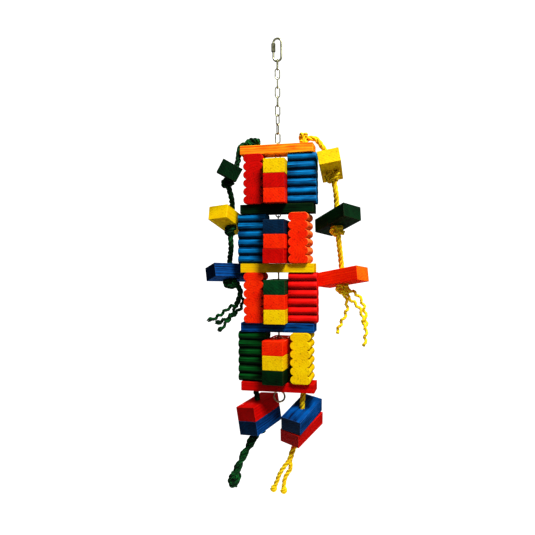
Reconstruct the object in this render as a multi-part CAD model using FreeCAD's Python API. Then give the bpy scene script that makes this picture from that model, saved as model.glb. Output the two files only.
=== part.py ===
import FreeCAD, Part
import math
import os

# A hanging block tower: a quick link and a chain carry five slats with four layers of blocks
# between them, two ropes run down through the outer blocks, and each rope's two ends are
# strung with loose blocks as an arm and a foot.
# Millimetres. Origin at the inside top of the quick link's bow, X along the slats, +Z up.

# --- wood stock ---
SLAT_SIZE = (131.0, 38.0, 16.0)
FLUTED_THICKNESS = 36.0
FLUTED_LENGTH = 50.4
FLUTED_HEIGHT = 88.9
RIB_COUNT = 6
FLUTE_DEPTH = 6.3
BLOCK_SIZE = (37.6, 84.0, 25.2)
EDGE_ROUND = 0.8
BLOCK_GAP = 0.2
CUT_MARGIN = 1.0
LAYER_COUNT = 4
STACK_COUNT = 3

# --- heights ---
SLAT_TOP = -191.0
LAYER_PITCH = FLUTED_HEIGHT + SLAT_SIZE[2]
TOWER_BOTTOM = SLAT_TOP - LAYER_COUNT * LAYER_PITCH - SLAT_SIZE[2]

# --- rope and its holes ---
ROPE_DIAMETER = 9.5
ROPE_HOLE = 11.5
ROPE_X = 43.5
CHAIN_HOLE = 12.0
STRAND_DIAMETER = 8.0
TAIL_DIAMETER = 14.0
RUN_SHARE = 0.45
KNOT_RADIUS = 9.5
KNOT_HEIGHT = 15.0
KNOT_CLEARANCE = 0.9
KNOT_DROP = BLOCK_SIZE[2] / 2 + KNOT_HEIGHT / 2 + KNOT_CLEARANCE
KNOT_ROUNDING = 0.6
CORE_RISE = 8.0

# --- quick link ---
LINK_WIRE = 3.6
QUICK_HEIGHT = 44.2
QUICK_WIDTH = 17.8
NUT_FLATS = 6.6
NUT_BORE = 4.2
NUT_LENGTH = 15.0
NUT_TOP = -6.5
NUT_CHAMFER = 0.5
OPENING_TOP = -9.0
OPENING_HEIGHT = 6.0

# --- chain and bottom ring ---
CHAIN_WIRE = 2.0
CHAIN_WIDTH = 10.0
CHAIN_GAP = 0.3
VISIBLE_LINKS = 9
INNER_LINKS = 27
RING_WIRE = 2.4
RING_DIAMETER = 22.8

QUICK_OUTSIDE_BOTTOM = LINK_WIRE - QUICK_HEIGHT
QUICK_INSIDE_BOTTOM = QUICK_OUTSIDE_BOTTOM + LINK_WIRE
CHAIN_START = QUICK_INSIDE_BOTTOM + CHAIN_GAP
RING_WIRE_BOTTOM = TOWER_BOTTOM - CHAIN_GAP - RING_WIRE
CHAIN_END = RING_WIRE_BOTTOM - CHAIN_GAP
LINK_PITCH = (CHAIN_START - CHAIN_GAP - CHAIN_END) / (VISIBLE_LINKS + INNER_LINKS)
LINK_INSIDE = LINK_PITCH + CHAIN_GAP

# How far each visible link is turned about the chain's line, in degrees.
LINK_TURNS = [90, 8, 97, 10, 92, 3, 62, 122, 195]
INNER_FIRST_TURN = 285
INNER_LAST_TURN = 270

# --- the four layers, top first: x of the block's centre, turn in degrees, ribs across the front ---
LEFT_BLOCKS = [(-40.5, 1.0, False), (-45.0, -1.5, True), (-41.5, 2.0, False), (-45.0, -4.0, True)]
RIGHT_BLOCKS = [(45.0, 1.5, True), (40.5, -2.0, False), (45.0, 1.5, True), (42.5, -1.0, False)]
STACK_TURNS = [(1.0, 0.5, 1.0), (-0.5, 0.5, -1.5), (0.0, 0.5, 0.0), (-5.0, -4.5, -5.0)]

# --- loose blocks: centre, (turn, pitch, roll) in degrees, x of the rope hole from the centre ---
ARM_BLOCKS = {
    "left_arm_block_1": ((-86.0, -17.0, -234.5), (18.0, 8.0, 28.0), 8.0),
    "left_arm_block_2": ((-94.0, 8.0, -320.8), (-13.0, -17.0, -4.6), 5.0),
    "left_arm_block_3": ((-95.5, 20.5, -417.0), (-44.5, -2.0, -16.0), 0.0),
    "right_arm_block_1": ((92.3, 14.0, -227.5), (2.0, -13.0, -10.3), 0.0),
    "right_arm_block_2": ((104.0, 13.5, -324.3), (44.5, -16.3, 10.7), 0.0),
    "right_arm_block_3": ((112.0, 20.0, -425.8), (61.8, -9.4, 6.2), 0.0),
}
# The upper foot block's centre and angles, then the lower one's further turn and the gap between them.
FOOT_STACKS = {
    "left": ((-40.4, 8.2, -660.6), (-19.0, 6.6, -5.5), 0.0, BLOCK_GAP),
    "right": ((40.6, 2.0, -667.6), (-20.5, 17.0, 9.6), -3.8, 1.6),
}

# --- rope routes, from the upper end down ---
ARM_ROUTES = {
    "left_arm_rope_upper": [(-61, 0, -185.8), (-69, -1, -186), (-74, -4, -193), (-71.5, -10, -207),
                            (-70.4, -13.8, -222)],
    "left_arm_rope_middle": [(-85.4, -12.3, -273), (-85, -3, -286), (-89.4, 13.8, -299)],
    "left_arm_rope_lower": [(-88.6, -0.9, -356), (-89.5, 6, -373), (-99.3, 25.3, -396)],
    "right_arm_rope_upper": [(61, 0, -180), (69, 2, -181), (78, 8, -193), (88.8, 18, -209.7)],
    "right_arm_rope_middle": [(100, 9.2, -262.3), (102.5, 10, -278), (102.6, 20.9, -303)],
    "right_arm_rope_lower": [(106.8, 5.4, -360), (108.5, 8, -377), (109.9, 23.9, -403.6)],
}
LEFT_TAIL = [(-91, 15.8, -437.2), (-77, 14.5, -443), (-73.5, 14, -458), (-83, 14, -477)]
LEFT_STRANDS = [
    [(-82.5, 14, -476), (-94, 13, -479), (-109, 12, -493), (-125, 11, -502.5), (-135, 11, -506)],
    [(-83, 14, -476.5), (-88, 15, -491), (-103, 16.5, -504), (-120, 17, -511)],
    [(-74, 13.5, -457), (-68.5, 11, -469), (-71, 10, -480), (-82, 9, -490.5), (-95, 8, -502),
     (-105, 8, -514), (-113, 8, -524)],
]
RIGHT_STRANDS = [
    [(111, 16, -448), (116.5, 16, -462), (121, 16.5, -476), (117, 17, -491), (109, 17, -505),
     (100, 17, -519)],
    [(115, 16, -447), (127, 15, -449), (140, 15, -457), (150, 15, -473), (153.5, 15, -498),
     (154, 15, -520), (149, 15, -545)],
    [(114, 15, -449), (120, 12, -459), (131, 10, -468), (141, 9, -479), (146.5, 8, -497), (148, 8, -516)],
]
LEFT_FOOT_ROUTE = [(-43.5, 0, -631.7), (-42.8, 6.7, -641.8), (-34.2, 12, -708.5), (-50.6, -5, -720.4)]
LEFT_FOOT_TAIL = [(-50.6, -5, -720.4), (-61.5, -10, -739), (-71, -12, -759), (-80, -13, -781)]
RIGHT_FOOT_ROUTE = [(43.5, 0, -631.7), (41.6, -4.2, -649.7), (37.8, 18.5, -715), (30.5, 3, -721.5),
                    (25.3, -7, -729), (21.5, -11, -743), (18, -11, -755)]
RIGHT_FOOT_LEGS = [
    [(17.5, -11, -753), (11.7, -13, -757), (5.5, -14, -766), (0, -13, -777), (-2, -12, -785),
     (-9, -12, -799)],
    [(18.5, -10, -753), (22, -9, -760), (18.4, -8, -768), (12.5, -8, -776), (9, -9, -788),
     (8.6, -9, -802)],
]
LEG_DIAMETER = 7.0
LEG_KNOB_RADIUS = 5.4

# --- knots: centre, axis, radius, length along the axis ---
LEFT_TOP_KNOT = ((-44.3, 0, SLAT_TOP + 8.5), (1, 0, 0), 8.4, 22.6)
RIGHT_TOP_KNOT = ((47, 0, SLAT_TOP + 10.7), (0, 0, 1), 8.2, 21.2)
LEFT_FOOT_KNOTS = [
    ((-34.7, 11.6, -704.5), (-0.128, -0.077, 0.989), 6.5, 11.0),
    ((-50.6, -5, -720.4), (0.35, 0.2, 1), 9.5, 19.0),
    ((-81, -13, -788), (0.3, 0, 1), 10.0, 28.0),
]
RIGHT_FOOT_KNOT = ((38, 17.4, -711.7), (0.055, -0.328, 0.943), 7.5, 13.0)


def vec(point):
    return FreeCAD.Vector(*point)


def attitude(turn, pitch, roll):
    """Turn about Z, then pitch about the block's own X, then roll about its own Y."""
    rotation = FreeCAD.Rotation(vec((0, 0, 1)), turn)
    rotation = rotation.multiply(FreeCAD.Rotation(vec((1, 0, 0)), pitch))
    return rotation.multiply(FreeCAD.Rotation(vec((0, 1, 0)), roll))


def placed(shape, centre, rotation):
    moved = shape.copy()
    moved.Placement = FreeCAD.Placement(vec(centre), rotation)
    return moved


def save(name, shape):
    shape.exportStep("parts/" + name + ".step")


def rounded_box(size):
    box = Part.makeBox(size[0], size[1], size[2], vec((-size[0] / 2, -size[1] / 2, -size[2] / 2)))
    return box.makeFillet(EDGE_ROUND, box.Edges)


def upright_hole(x, diameter, top, bottom):
    return Part.makeCylinder(diameter / 2, top - bottom, vec((x, 0, bottom)))


def bored_block(x, diameter):
    """A rounded block, lying flat about its own centre, with one hole down through it."""
    reach = BLOCK_SIZE[2] / 2 + CUT_MARGIN
    return single_solid(rounded_box(BLOCK_SIZE).cut(upright_hole(x, diameter, reach, -reach)))


def single_solid(shape):
    return shape.Solids[0] if len(shape.Solids) == 1 else shape


# --- wood ---

def make_slat(index):
    top = SLAT_TOP - index * LAYER_PITCH
    bottom = top - SLAT_SIZE[2]
    slat = placed(rounded_box(SLAT_SIZE), (0, 0, (top + bottom) / 2), FreeCAD.Rotation())
    for x, diameter in ((-ROPE_X, ROPE_HOLE), (0, CHAIN_HOLE), (ROPE_X, ROPE_HOLE)):
        slat = slat.cut(upright_hole(x, diameter, top + CUT_MARGIN, bottom - CUT_MARGIN))
    return single_solid(slat)


def fluted_profile(y):
    """Closed outline parallel to XZ: flat top and bottom, a row of round ribs on each side."""
    half = FLUTED_HEIGHT / 2
    valley = FLUTED_THICKNESS / 2 - FLUTE_DEPTH
    pitch = FLUTED_HEIGHT / RIB_COUNT
    edges = []
    for side in (1, -1):
        for rib in range(RIB_COUNT):
            low = side * (-half + rib * pitch)
            high = side * (-half + (rib + 1) * pitch)
            start = vec((side * valley, y, low))
            crest = vec((side * FLUTED_THICKNESS / 2, y, (low + high) / 2))
            end = vec((side * valley, y, high))
            edges.append(Part.Arc(start, crest, end).toShape())
        edges.append(Part.LineSegment(vec((side * valley, y, side * half)),
                                      vec((-side * valley, y, side * half))).toShape())
    return Part.Wire(edges)


def make_fluted_block(layer, x, turn, ribs_across, rope_x):
    """A block whose ribs run along its length: along X when ribs_across, else along Y."""
    blank = Part.Face(fluted_profile(-FLUTED_LENGTH / 2)).extrude(vec((0, FLUTED_LENGTH, 0)))
    centre_z = SLAT_TOP - SLAT_SIZE[2] - layer * LAYER_PITCH - FLUTED_HEIGHT / 2
    rotation = FreeCAD.Rotation(vec((0, 0, 1)), turn + (90 if ribs_across else 0))
    block = placed(blank, (x, 0, centre_z), rotation)
    hole = upright_hole(rope_x, ROPE_HOLE, centre_z + FLUTED_HEIGHT, centre_z - FLUTED_HEIGHT)
    return single_solid(block.cut(hole))


def make_stack_block(layer, level, turn):
    """Block number level of a centre stack, counted from the top; the stack stands on the slat below."""
    floor = SLAT_TOP - (layer + 1) * LAYER_PITCH
    lift = BLOCK_GAP + (STACK_COUNT - 1 - level) * (BLOCK_SIZE[2] + BLOCK_GAP)
    centre_z = floor + lift + BLOCK_SIZE[2] / 2
    return placed(bored_block(0, CHAIN_HOLE), (0, 0, centre_z), FreeCAD.Rotation(vec((0, 0, 1)), turn))


def make_loose_block(centre, angles, hole_x):
    return placed(bored_block(hole_x, ROPE_HOLE), centre, attitude(*angles))


def make_lower_foot_block(upper, centre, angles, further_turn, gap):
    """The block under the upper one on the same rope, turned further about the rope."""
    axis = block_axis(angles)
    lower = upper.copy()
    lower.rotate(vec(centre), axis, further_turn)
    lower.translate(axis * -(BLOCK_SIZE[2] + gap))
    return lower


# --- rope ---

def route_wire(points, name):
    """Straight runs joined by tangent arcs, each as large as its two runs allow."""
    corners = [vec(point) for point in points]
    edges = []
    start = corners[0]
    radii = []
    for before, corner, after in zip(corners, corners[1:], corners[2:]):
        run_in = corner.sub(before)
        run_out = after.sub(corner)
        turn = run_in.getAngle(run_out)
        reach = RUN_SHARE * min(run_in.Length, run_out.Length)
        radius = reach / math.tan(turn / 2)
        radii.append(round(radius, 1))
        into = FreeCAD.Vector(run_in).normalize()
        out = FreeCAD.Vector(run_out).normalize()
        arc_start = corner - into * reach
        arc_end = corner + out * reach
        inward = (out - into).normalize()
        arc_middle = corner + inward * (radius / math.cos(turn / 2) - radius)
        edges.append(Part.LineSegment(start, arc_start).toShape())
        edges.append(Part.Arc(arc_start, arc_middle, arc_end).toShape())
        start = arc_end
    edges.append(Part.LineSegment(start, corners[-1]).toShape())
    wire = Part.Wire(edges)
    print(name, "length", round(wire.Length, 1), "radii", radii)
    return wire


def tube(points, diameter, name):
    wire = route_wire(points, name)
    first_run = vec(points[1]).sub(vec(points[0]))
    circle = Part.Wire([Part.makeCircle(diameter / 2, vec(points[0]), first_run)])
    pipe = wire.makePipeShell([circle], True, False)
    expected = math.pi * diameter ** 2 / 4 * wire.Length
    print(name, "volume against section times length", round(pipe.Volume / expected, 4))
    return pipe


def knot(centre, axis, radius, height):
    """A knot as a plain rounded barrel about the rope's own line."""
    direction = vec(axis).normalize()
    base = vec(centre) - direction * (height / 2)
    barrel = Part.makeCylinder(radius, height, base, direction)
    rims = [edge for edge in barrel.Edges if isinstance(edge.Curve, Part.Circle)]
    return barrel.makeFillet(min(radius, height / 2) * KNOT_ROUNDING, rims)


def fused(shapes):
    result = shapes[0].multiFuse(shapes[1:])
    return single_solid(result)


def round_end(point, diameter=ROPE_DIAMETER):
    return Part.makeSphere(diameter / 2, vec(point))


def block_axis(angles):
    return attitude(*angles).multVec(vec((0, 0, 1)))


def hole_centre(centre, angles, hole_x):
    return vec(centre) + attitude(*angles).multVec(vec((hole_x, 0, 0)))


def make_arm_rope(name, block_name, tail=None):
    """One stretch of arm rope: down through its block's hole to the knot that holds the block."""
    centre, angles, hole_x = ARM_BLOCKS[block_name]
    axis = block_axis(angles)
    knot_centre = hole_centre(centre, angles, hole_x) - axis * KNOT_DROP
    route = ARM_ROUTES[name] + [tuple(knot_centre)]
    pieces = [tube(route, ROPE_DIAMETER, name), round_end(route[0])]
    pieces.append(knot(tuple(knot_centre), tuple(axis), KNOT_RADIUS, KNOT_HEIGHT))
    if tail:
        pieces.append(tube(tail, ROPE_DIAMETER, name + " tail"))
    return fused(pieces)


def make_core_rope(x, knot_shape):
    """The upright stretch inside the tower, from the knot on the top slat to the lowest slat's underside."""
    length = SLAT_TOP + CORE_RISE - TOWER_BOTTOM
    upright = Part.makeCylinder(ROPE_DIAMETER / 2, length, vec((x, 0, TOWER_BOTTOM)))
    return fused([upright, knot_shape])


def make_strands(routes, diameter, name):
    strands = [tube(route, diameter, name + " " + str(number + 1)) for number, route in enumerate(routes)]
    return fused(strands)


def make_left_foot_rope():
    pieces = [tube(LEFT_FOOT_ROUTE, ROPE_DIAMETER, "left_foot_rope"), round_end(LEFT_FOOT_ROUTE[0])]
    pieces.append(tube(LEFT_FOOT_TAIL, TAIL_DIAMETER, "left_foot_tail"))
    pieces += [knot(*measures) for measures in LEFT_FOOT_KNOTS]
    return fused(pieces)


def make_right_foot_rope():
    pieces = [tube(RIGHT_FOOT_ROUTE, ROPE_DIAMETER, "right_foot_rope"), round_end(RIGHT_FOOT_ROUTE[0])]
    pieces.append(knot(*RIGHT_FOOT_KNOT))
    for number, route in enumerate(RIGHT_FOOT_LEGS):
        pieces.append(tube(route, LEG_DIAMETER, "right_foot_leg_" + str(number + 1)))
        pieces.append(Part.makeSphere(LEG_KNOB_RADIUS, vec(route[-1])))
    return fused(pieces)


# --- metal ---

def make_quick_link_body():
    """An oval of wire in the XZ plane with a break in its left leg, which the nut spans."""
    bend = (QUICK_WIDTH - LINK_WIRE) / 2
    top_centre = LINK_WIRE / 2 - bend
    bottom_centre = QUICK_OUTSIDE_BOTTOM + LINK_WIRE / 2 + bend
    path = Part.Wire([
        Part.LineSegment(vec((-bend, 0, OPENING_TOP)), vec((-bend, 0, top_centre))).toShape(),
        Part.Arc(vec((-bend, 0, top_centre)), vec((0, 0, top_centre + bend)),
                 vec((bend, 0, top_centre))).toShape(),
        Part.LineSegment(vec((bend, 0, top_centre)), vec((bend, 0, bottom_centre))).toShape(),
        Part.Arc(vec((bend, 0, bottom_centre)), vec((0, 0, bottom_centre - bend)),
                 vec((-bend, 0, bottom_centre))).toShape(),
        Part.LineSegment(vec((-bend, 0, bottom_centre)),
                         vec((-bend, 0, OPENING_TOP - OPENING_HEIGHT))).toShape(),
    ])
    circle = Part.Wire([Part.makeCircle(LINK_WIRE / 2, vec((-bend, 0, OPENING_TOP)), vec((0, 0, 1)))])
    return path.makePipeShell([circle], True, False)


def make_quick_link_nut():
    """A hexagonal sleeve with chamfered ends."""
    bend = (QUICK_WIDTH - LINK_WIRE) / 2
    corner_radius = NUT_FLATS / 2 / math.cos(math.radians(30))
    bottom = NUT_TOP - NUT_LENGTH
    corners = []
    for side in range(7):
        angle = math.radians(60 * side)
        corners.append(vec((corner_radius * math.cos(angle) - bend, corner_radius * math.sin(angle), bottom)))
    prism = Part.Face(Part.makePolygon(corners)).extrude(vec((0, 0, NUT_LENGTH)))
    turned = Part.makeCylinder(corner_radius, NUT_LENGTH, vec((-bend, 0, bottom)))
    rims = [edge for edge in turned.Edges if isinstance(edge.Curve, Part.Circle)]
    turned = turned.makeChamfer(NUT_CHAMFER, rims)
    bore = upright_hole(-bend, NUT_BORE, NUT_TOP + CUT_MARGIN, bottom - CUT_MARGIN)
    return single_solid(prism.common(turned).cut(bore))


def make_chain_link(number):
    """Link number, from 0 at the top: a closed oval of wire, turned about the chain's line."""
    bend = (CHAIN_WIDTH - CHAIN_WIRE) / 2
    inside_top = CHAIN_START - number * LINK_PITCH
    upper = inside_top + CHAIN_WIRE / 2 - bend
    lower = inside_top - LINK_INSIDE - CHAIN_WIRE / 2 + bend
    path = Part.Wire([
        Part.Arc(vec((-bend, 0, upper)), vec((0, 0, upper + bend)), vec((bend, 0, upper))).toShape(),
        Part.LineSegment(vec((bend, 0, upper)), vec((bend, 0, lower))).toShape(),
        Part.Arc(vec((bend, 0, lower)), vec((0, 0, lower - bend)), vec((-bend, 0, lower))).toShape(),
        Part.LineSegment(vec((-bend, 0, lower)), vec((-bend, 0, upper))).toShape(),
    ])
    circle = Part.Wire([Part.makeCircle(CHAIN_WIRE / 2, vec((-bend, 0, upper)), vec((0, 0, 1)))])
    link = path.makePipeShell([circle], True, False)
    link.rotate(vec((0, 0, 0)), vec((0, 0, 1)), link_turn(number))
    return link


def link_turn(number):
    if number < VISIBLE_LINKS:
        return LINK_TURNS[number]
    inner = number - VISIBLE_LINKS
    drift = (INNER_LAST_TURN - INNER_FIRST_TURN) * inner / (INNER_LINKS - 1)
    return INNER_FIRST_TURN + drift + 90 * inner


def make_bottom_ring():
    centre_z = TOWER_BOTTOM - CHAIN_GAP - RING_DIAMETER / 2
    return Part.makeTorus((RING_DIAMETER - RING_WIRE) / 2, RING_WIRE / 2, vec((0, 0, centre_z)), vec((0, 1, 0)))


# --- assembly ---

def save_wood():
    for index in range(LAYER_COUNT + 1):
        save("slat_" + str(index + 1), make_slat(index))
    for layer in range(LAYER_COUNT):
        number = str(layer + 1)
        save("fluted_left_" + number, make_fluted_block(layer, *LEFT_BLOCKS[layer], -ROPE_X))
        save("fluted_right_" + number, make_fluted_block(layer, *RIGHT_BLOCKS[layer], ROPE_X))
        for level, turn in enumerate(STACK_TURNS[layer]):
            save("centre_block_" + number + "_" + str(level + 1), make_stack_block(layer, level, turn))
    for name, (centre, angles, hole_x) in ARM_BLOCKS.items():
        save(name, make_loose_block(centre, angles, hole_x))
    for side, (centre, angles, further_turn, gap) in FOOT_STACKS.items():
        upper = make_loose_block(centre, angles, 0)
        save(side + "_foot_block_1", upper)
        save(side + "_foot_block_2", make_lower_foot_block(upper, centre, angles, further_turn, gap))


def save_ropes():
    save("left_core_rope", make_core_rope(-ROPE_X, knot(*LEFT_TOP_KNOT)))
    save("right_core_rope", make_core_rope(ROPE_X, knot(*RIGHT_TOP_KNOT)))
    save("left_arm_rope_upper", make_arm_rope("left_arm_rope_upper", "left_arm_block_1"))
    save("left_arm_rope_middle", make_arm_rope("left_arm_rope_middle", "left_arm_block_2"))
    save("left_arm_rope_lower", make_arm_rope("left_arm_rope_lower", "left_arm_block_3", LEFT_TAIL))
    save("right_arm_rope_upper", make_arm_rope("right_arm_rope_upper", "right_arm_block_1"))
    save("right_arm_rope_middle", make_arm_rope("right_arm_rope_middle", "right_arm_block_2"))
    save("right_arm_rope_lower", make_arm_rope("right_arm_rope_lower", "right_arm_block_3"))
    save("left_arm_strands", make_strands(LEFT_STRANDS, STRAND_DIAMETER, "left_arm_strand"))
    save("right_arm_strands", make_strands(RIGHT_STRANDS, STRAND_DIAMETER, "right_arm_strand"))
    save("left_foot_rope", make_left_foot_rope())
    save("right_foot_rope", make_right_foot_rope())


def save_metal():
    save("quick_link_body", make_quick_link_body())
    save("quick_link_nut", make_quick_link_nut())
    for number in range(VISIBLE_LINKS):
        save("chain_link_" + str(number + 1), make_chain_link(number))
    inner = [make_chain_link(number) for number in range(VISIBLE_LINKS, VISIBLE_LINKS + INNER_LINKS)]
    save("inner_chain", Part.makeCompound(inner))
    save("bottom_ring", make_bottom_ring())


os.makedirs("parts", exist_ok=True)
save_wood()
save_ropes()
save_metal()
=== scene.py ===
import math
import random

import bmesh
import bpy
from mathutils import Matrix, Vector


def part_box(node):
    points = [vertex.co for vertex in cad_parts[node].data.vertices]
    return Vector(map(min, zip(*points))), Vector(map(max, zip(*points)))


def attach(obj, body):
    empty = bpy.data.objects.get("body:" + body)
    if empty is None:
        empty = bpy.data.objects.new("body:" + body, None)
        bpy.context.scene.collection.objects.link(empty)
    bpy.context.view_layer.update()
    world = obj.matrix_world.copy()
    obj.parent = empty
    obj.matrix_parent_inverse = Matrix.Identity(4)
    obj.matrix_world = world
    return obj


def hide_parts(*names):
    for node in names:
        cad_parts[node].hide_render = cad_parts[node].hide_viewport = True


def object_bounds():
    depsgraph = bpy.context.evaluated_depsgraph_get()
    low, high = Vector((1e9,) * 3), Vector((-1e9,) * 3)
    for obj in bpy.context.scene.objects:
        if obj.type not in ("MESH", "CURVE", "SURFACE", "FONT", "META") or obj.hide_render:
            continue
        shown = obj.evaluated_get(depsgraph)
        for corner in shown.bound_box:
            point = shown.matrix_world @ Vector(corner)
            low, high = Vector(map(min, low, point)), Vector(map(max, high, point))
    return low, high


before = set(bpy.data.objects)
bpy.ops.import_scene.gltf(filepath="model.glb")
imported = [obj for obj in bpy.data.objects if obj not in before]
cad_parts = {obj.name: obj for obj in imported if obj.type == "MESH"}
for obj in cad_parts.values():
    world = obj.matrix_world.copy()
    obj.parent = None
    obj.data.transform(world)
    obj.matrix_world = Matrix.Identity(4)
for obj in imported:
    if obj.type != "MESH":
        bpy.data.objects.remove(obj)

# The looks of a hanging tower of stained blocks: wood grain for every block, laid rope with its
# knots, and plated metal. Metres, in the frame's own axes.

cad_low, cad_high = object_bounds()

CAMERA_AT = (0.1902, -0.9493, -0.4021)
CAMERA_AZIMUTH = math.radians(12.5)
CAMERA_ROLL = math.radians(-0.34)
CAMERA_LENS = 36.4
CAMERA_SENSOR = 36.0
CAMERA_SHIFT_Y = -0.006
FLOOR_BELOW = 0.55
FLOOR_RADIUS = 0.85

KEY_AT = (1.15, -1.47, 1.93)
KEY_POWER = 136
BACK_AT = (-0.45, 2.10, -0.35)
BACK_POWER = 62
LIGHT_SIZE = 0.95
LIGHT_AIM = (0, 0, -0.40)
FILL_FROM = (0.72, -0.40, 0.57)
FILL_BRIGHT = 0.46
FILL_DIM = 0.013

# The laid rope's lobes reach past its nominal 9.5 mm.
ROPE_DIAMETERS = {"green": 0.0106, "yellow": 0.0101}
ROPE_LAY = 0.029
# How thick the rope in a knot is, as a share of the free rope, or in the arms of the knot's width.
KNOTTED_SHARE = 0.80
KNOT_FILL = 0.32
# The strands in one rope, how much thicker each is than if it only touched the others, and the
# angle that the first one starts at.
ROPE_STRANDS = 3
STRAND_SWELL = 1.06
LAY_PHASE = 0.4
CRIMPED_DIAMETERS = {"green": 0.0062, "yellow": 0.0056}
CRIMP_RADIUS = 0.0019
CRIMP_LENGTH = 0.0155
TAIL_STRAND = 0.0084
TAIL_SPREAD = 0.0032
TAIL_LAY = 0.050
TAIL_YARNS = 5
LEG_DIAMETER = 0.0080
LEG_LAY = 0.027

SLAT_COLOURS = ["amber", "dark_green", "yellow", "royal", "red"]
LEFT_COLOURS = ["red", "blue", "orange_red", "leaf_green"]
RIGHT_COLOURS = ["blue", "rubbed_orange", "crimson", "yellow"]
STACK_COLOURS = [("yellow", "red", "orange_red"), ("navy", "orange_red", "red"),
                 ("green", "orange_red", "yellow"), ("orange_red", "yellow", "dark_green")]

# Each stain: where it lies thin, and where it soaks in.
STAINS = {
    "amber": ((0.94, 0.42, 0.016), (0.78, 0.070, 0.0010)),
    "orange_red": ((0.82, 0.036, 0.0006), (0.66, 0.0070, 0.0003)),
    "red": ((0.58, 0.0034, 0.0010), (0.38, 0.0012, 0.0004)),
    "crimson": ((0.84, 0.0100, 0.0060), (0.44, 0.0016, 0.0010)),
    "yellow": ((0.78, 0.55, 0.0005), (0.68, 0.38, 0.0004)),
    "blue": ((0.0004, 0.25, 0.58), (0.0002, 0.0080, 0.052)),
    "royal": ((0.0004, 0.095, 0.34), (0.0002, 0.0055, 0.030)),
    "navy": ((0.0024, 0.026, 0.066), (0.0008, 0.0070, 0.020)),
    "green": ((0.0024, 0.062, 0.017), (0.0008, 0.0130, 0.0042)),
    "dark_green": ((0.0009, 0.028, 0.0058), (0.0004, 0.0040, 0.0013)),
    "leaf_green": ((0.0010, 0.115, 0.0150), (0.0004, 0.0070, 0.0014)),
    # A paler orange side grain: partly a lighter stain, partly painted light on the rib sides that face the
    # key light.
    "rubbed_orange": ((0.92, 0.26, 0.055), (0.84, 0.085, 0.0100)),
}
# The same two for the ends of some blocks: on the red and royal blocks a darker copy that paints shade on
# the ends turned from the key light, on orange_red a lighter stain with a painted highlight, and on the
# pale orange fluted block its plain orange_red stain.
END_STAINS_AND_PAINTED_LIGHT = {
    "rubbed_orange": STAINS["orange_red"],
    "orange_red": ((0.88, 0.150, 0.0020), (0.84, 0.080, 0.0012)),
    "red": ((0.34, 0.0012, 0.0004), (0.22, 0.0006, 0.0002)),
    "royal": ((0.0003, 0.022, 0.065), (0.0002, 0.0030, 0.0130)),
}
# How strongly each stain gets painted shade between the ribs and on their undersides.
GROOVE_SHADE_STRENGTH = {"blue": 1.0, "leaf_green": 1.0, "crimson": 0.7}

# --- shader helpers ---


def new_node(tree, kind, **values):
    """A node with its inputs set by name (numbers, colours) or linked (sockets)."""
    node = tree.nodes.new(kind)
    for name, value in values.items():
        if name.startswith("set_"):
            setattr(node, name[4:], value)
            continue
        key = int(name[1:]) if name[0] == "i" and name[1:].isdigit() else name.replace("_", " ")
        if isinstance(value, bpy.types.NodeSocket):
            tree.links.new(value, node.inputs[key])
        else:
            node.inputs[key].default_value = value
    return node


def maths(tree, operation, *values):
    inputs = {"i" + str(index): value for index, value in enumerate(values)}
    return new_node(tree, "ShaderNodeMath", set_operation=operation, **inputs).outputs[0]


def vector_maths(tree, operation, *values, out=0):
    inputs = {"i" + str(index): value for index, value in enumerate(values)}
    return new_node(tree, "ShaderNodeVectorMath", set_operation=operation, **inputs).outputs[out]


def smooth_step(tree, value, low, high):
    node = new_node(tree, "ShaderNodeMapRange", set_interpolation_type="SMOOTHSTEP",
                    Value=value, From_Min=low, From_Max=high)
    return node.outputs[0]


def noise(tree, vector, scale, detail=3.0, roughness=0.55):
    node = new_node(tree, "ShaderNodeTexNoise", Vector=vector, Scale=scale, Detail=detail,
                    Roughness=roughness)
    return node.outputs[0]


def blend_colours(tree, factor, first, second):
    node = new_node(tree, "ShaderNodeMix", set_data_type="RGBA", i0=factor, i6=first, i7=second)
    return node.outputs[2]


def new_material(name):
    material = bpy.data.materials.new(name)
    material.use_nodes = True
    tree = material.node_tree
    return material, tree, tree.nodes["Principled BSDF"]


# --- stained wood ---

# Millimetres between growth rings.
RING_WIDTH = 4.4
# How far out from the valleys the painted groove shade fades, in metres, how much of it a rib's underside
# has, and how strong it is on a stain that the groove shade table leaves out.
GROOVE_SHADE_REACH = 0.0062
UNDERSIDE_SHADE_SHARE = 0.85
DEFAULT_GROOVE_SHADE_STRENGTH = 0.15
# Fixes each block's place in its trunk, and the frayed ends.
GRAIN_SEED = 11
PORE_COLOUR = (0.012, 0.008, 0.005, 1)
DARK_SPECK_COLOUR = (0.010, 0.006, 0.004, 1)
BRIGHT_SPECK_COLOUR = (0.85, 0.62, 0.28, 1)
# Painted shade: the colour that the grooves between the ribs and the ribs' undersides darken towards.
PAINTED_SHADE_COLOUR = (0.0012, 0.0012, 0.0016, 1)
BARE_WOOD_COLOUR = (0.80, 0.50, 0.22, 1)


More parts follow.
